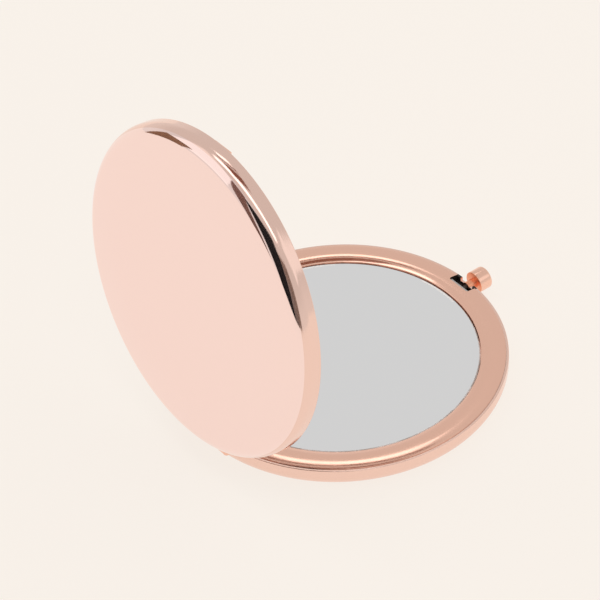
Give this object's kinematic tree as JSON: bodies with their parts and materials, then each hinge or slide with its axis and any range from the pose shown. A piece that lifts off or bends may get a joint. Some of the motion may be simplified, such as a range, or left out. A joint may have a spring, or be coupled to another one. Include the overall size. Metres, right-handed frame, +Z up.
{
  "type": "compact mirror",
  "caption": "Round folding compact mirror in rose-gold metal, standing open, with a glass mirror in each half, a pin hinge and a push-button catch.",
  "frame": {"origin": "centre of the flat face that the base stands on", "axes": "+Z up, hinge axis along X at the +Y side, push button towards -Y"},
  "size_m": [0.066, 0.0749, 0.0719],
  "materials": {
    "cover_metal": "polished",
    "frame_metal": "polished",
    "knob_metal": "polished",
    "mirror_glass": "polished",
    "plain_steel": "satin",
    "adhesive_tape": "matte",
    "card_pad": "matte"
  },
  "bodies": {
    "base": {"base_cover": "cover_metal", "base_frame": "frame_metal", "base_mirror": "mirror_glass", "base_mirror_tape": "adhesive_tape", "base_backing_pad": "card_pad", "hinge_pin": "plain_steel", "latch_keeper": "plain_steel", "keeper_rivets": "plain_steel", "latch_spring": "plain_steel"},
    "lid": {"lid_cover": "cover_metal", "lid_frame": "frame_metal", "lid_mirror": "mirror_glass", "lid_mirror_tape": "adhesive_tape", "lid_backing_pad": "card_pad", "catch_hook": "frame_metal"},
    "button": {"button_knob": "knob_metal", "latch_catch": "plain_steel"}
  },
  "joints": [
    {"name": "lid_hinge", "type": "hinge", "parent": "base", "child": "lid", "pos_m": [0, 0.0333, 0.0059], "axis": [-1, 0, 0], "range_deg": [-83, 97]},
    {"name": "button_press", "type": "slide", "parent": "base", "child": "button", "axis": [0, 1, 0], "range_m": [0, 0.0009], "stiffness_N_per_m": 600, "springref_m": -0.001, "deforming": ["latch_spring"]}
  ]
}
